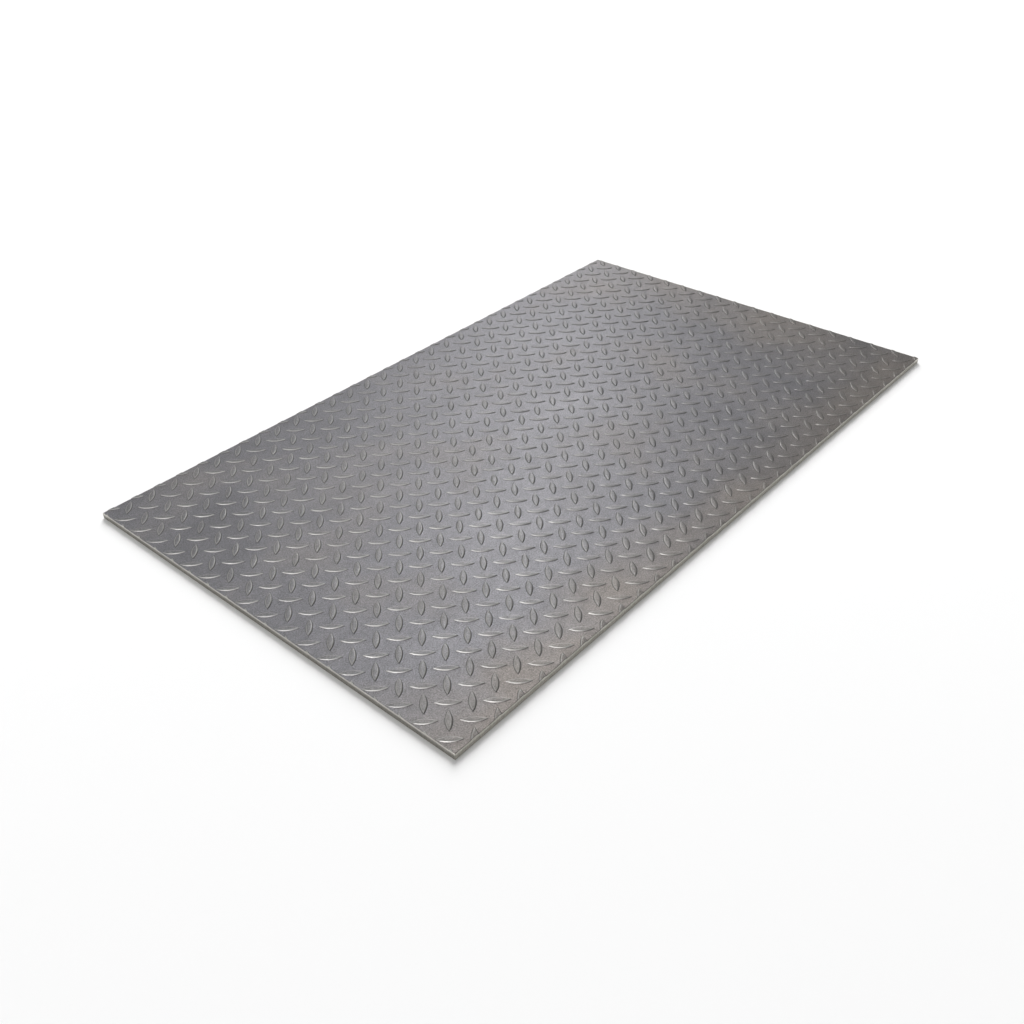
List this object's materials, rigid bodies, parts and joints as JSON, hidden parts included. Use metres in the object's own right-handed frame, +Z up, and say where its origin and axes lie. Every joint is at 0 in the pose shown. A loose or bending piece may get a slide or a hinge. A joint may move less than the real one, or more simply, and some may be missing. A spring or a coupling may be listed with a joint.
{
  "type": "raised-pattern steel floor plate",
  "caption": "Rectangular cut of hot-rolled steel floor plate with a raised checkered lug pattern for grip on its upper face and a plain underside.",
  "frame": {"origin": "middle of the underside, the face the plate lies on", "axes": "+X along the long side, +Y along the short side, +Z up out of the patterned face"},
  "size_m": [1, 0.6, 0.008],
  "materials": {
    "steel": "satin hot-rolled mill finish, bare"
  },
  "bodies": {
    "root": {"checker_plate": "steel"}
  },
  "joints": []
}
